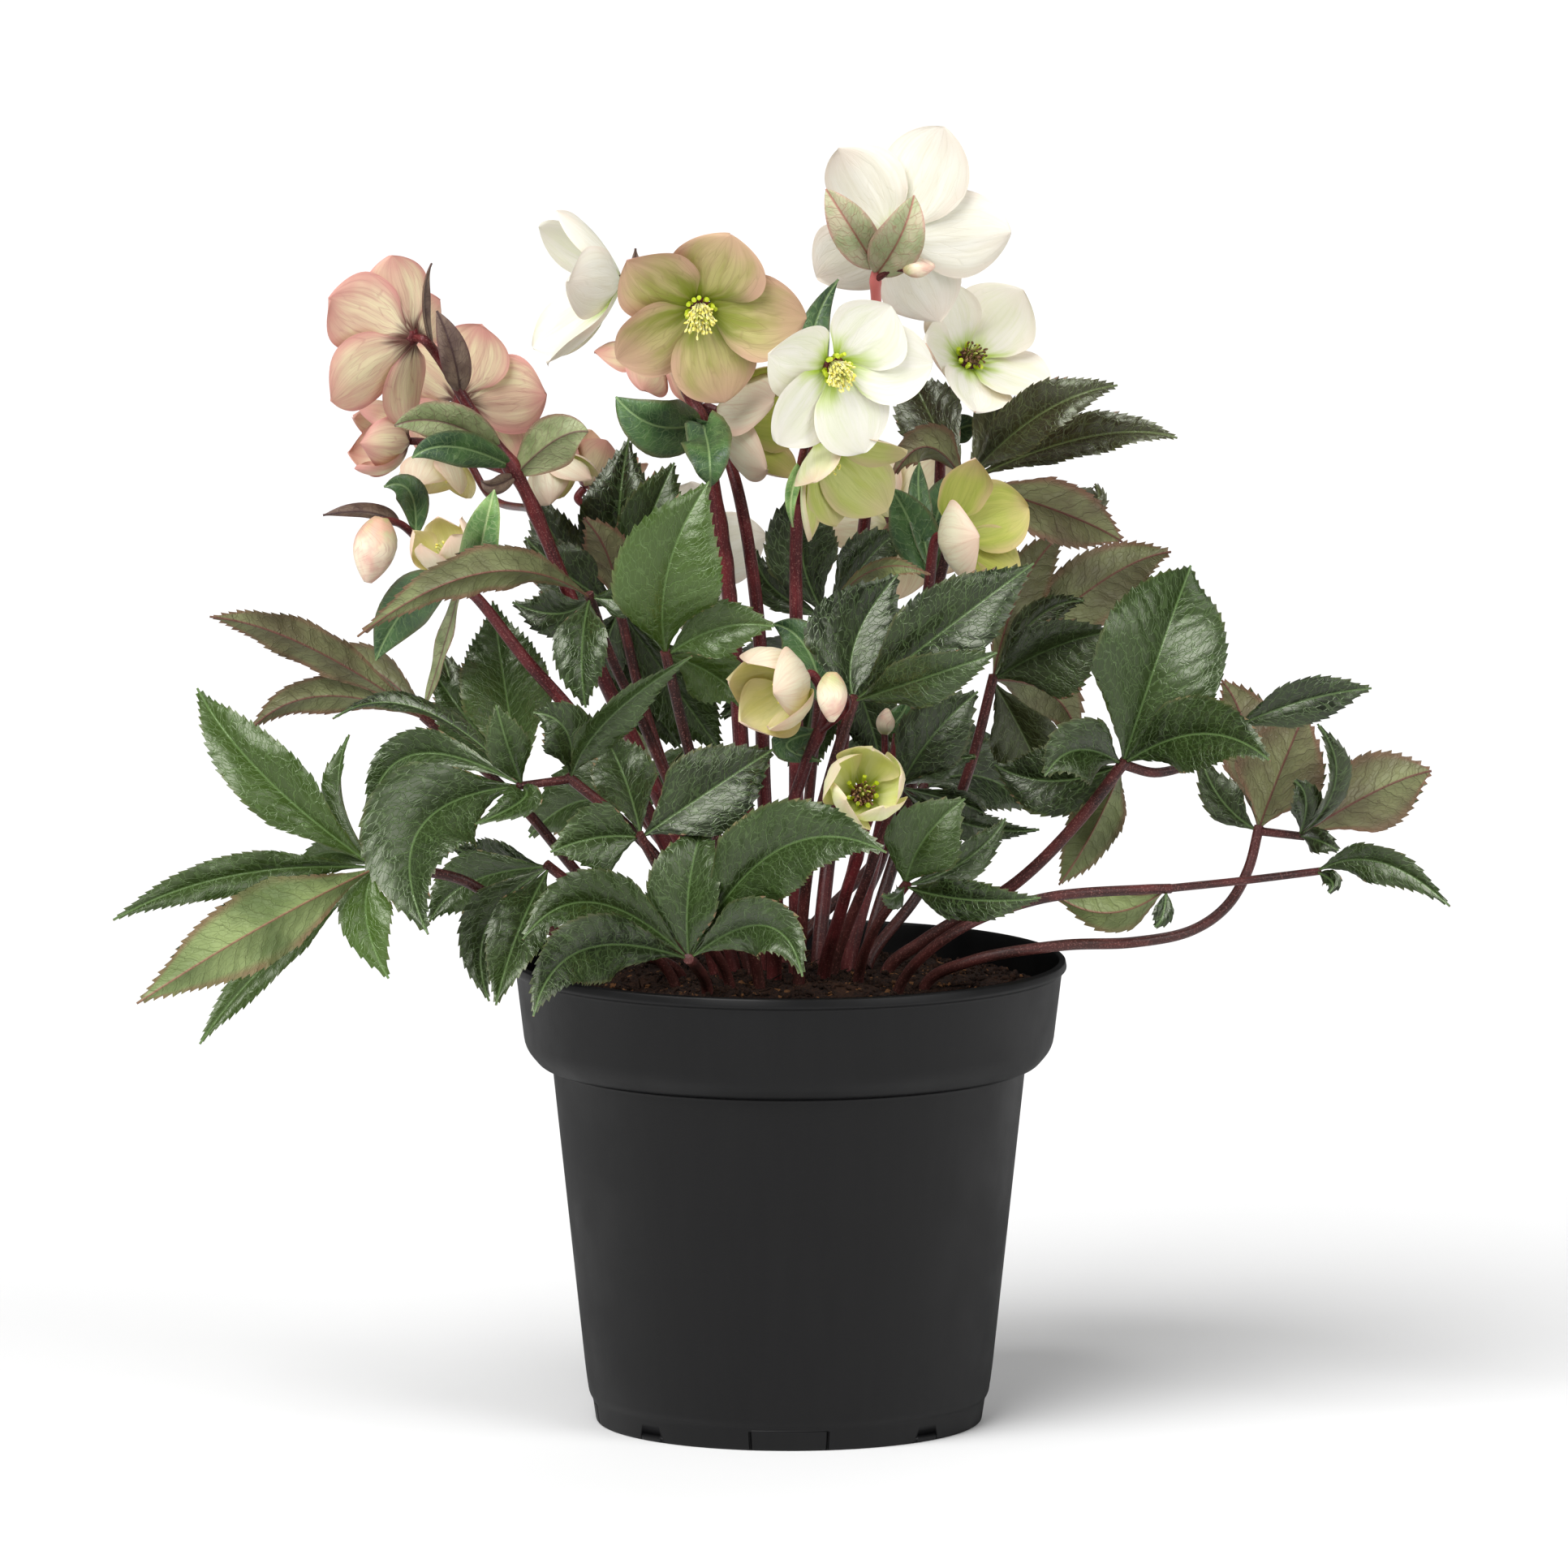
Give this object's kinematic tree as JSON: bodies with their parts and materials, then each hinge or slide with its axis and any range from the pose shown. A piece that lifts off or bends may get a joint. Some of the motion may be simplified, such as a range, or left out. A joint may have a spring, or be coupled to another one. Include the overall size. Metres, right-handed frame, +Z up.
{
  "type": "potted hellebore",
  "caption": "Flowering hellebore in a round grower's pot: toothed leaves on long petioles, red stems, cupped and open blooms.",
  "frame": {"origin": "middle of the pot's foot, on the surface that the pot stands on", "axes": "+Z up, +X to the right and -Y to the front as the plant is seen from its front"},
  "size_m": [0.5379, 0.366, 0.528],
  "materials": {
    "pot": "satin charcoal, finely textured",
    "compost": "crumbly, matte",
    "flower_stem": "waxy dark red, finely speckled",
    "leaf_green": "glossy dark green with pale veins",
    "leaf_olive": "satin olive flushed purple",
    "sepal_white": "soft, fine veins",
    "sepal_cream": "soft, fine veins, blushed pink",
    "sepal_green": "soft, fine veins",
    "sepal_pink": "soft, fine dark veins",
    "sepal_olive": "soft, fine veins, pink edge",
    "stamens": "powdery yellow"
  },
  "bodies": {
    "root": {"pot": "pot", "flower_stem_pink": "flower_stem", "flower_stem_left": "flower_stem", "flower_stem_olive": "flower_stem", "flower_stem_bell": "flower_stem", "flower_stem_white": "flower_stem", "flower_stem_top": "flower_stem", "flower_stem_lime": "flower_stem", "flower_stem_upward": "flower_stem", "flower_stem_cup": "flower_stem", "flower_stem_front": "flower_stem", "bloom_pink_back": "sepal_pink", "bloom_pink_inner": "sepal_pink", "bloom_pink_inner_boss": "stamens", "bloom_pink_side": "sepal_pink", "bloom_blush_nodding": "sepal_cream", "bloom_green_nodding": "sepal_green", "bloom_mauve": "sepal_pink", "bloom_cream_young": "sepal_cream", "bloom_white_side": "sepal_white", "bloom_white_side_boss": "stamens", "bloom_olive_open": "sepal_olive", "bloom_olive_open_boss": "stamens", "bloom_pink_hidden": "sepal_pink", "bloom_cream_bell": "sepal_cream", "bloom_cream_bell_boss": "stamens", "bloom_white_open": "sepal_white", "bloom_white_open_boss": "stamens", "bloom_white_top": "sepal_white", "bloom_cream_upward": "sepal_cream", "bloom_cream_upward_boss": "stamens", "bloom_green_bell": "sepal_green", "bloom_lime": "sepal_green", "bloom_cream_cup": "sepal_cream", "bloom_cream_cup_boss": "stamens", "bloom_front_cup": "sepal_green", "bloom_front_cup_boss": "stamens", "bloom_back_left": "sepal_white", "bloom_back_right": "sepal_cream", "leaf_left_low": "leaf_green", "leaf_left_high": "leaf_olive", "leaf_left_broad": "leaf_green", "leaf_left_rim": "leaf_green", "leaf_left_stem": "leaf_olive", "leaf_centre_back": "leaf_green", "leaf_centre_bright": "leaf_green", "leaf_centre_low": "leaf_green", "leaf_front": "leaf_green", "leaf_right_centre": "leaf_green", "leaf_centre_dark": "leaf_green", "leaf_right_inner": "leaf_green", "leaf_right_low": "leaf_green", "leaf_right_brown": "leaf_olive", "leaf_right_glossy": "leaf_green", "leaf_right_creeping": "leaf_olive", "leaf_right_far": "leaf_olive", "leaf_top_right": "leaf_olive", "leaf_back_left": "leaf_green", "leaf_back_right": "leaf_green", "compost": "compost"}
  },
  "joints": []
}
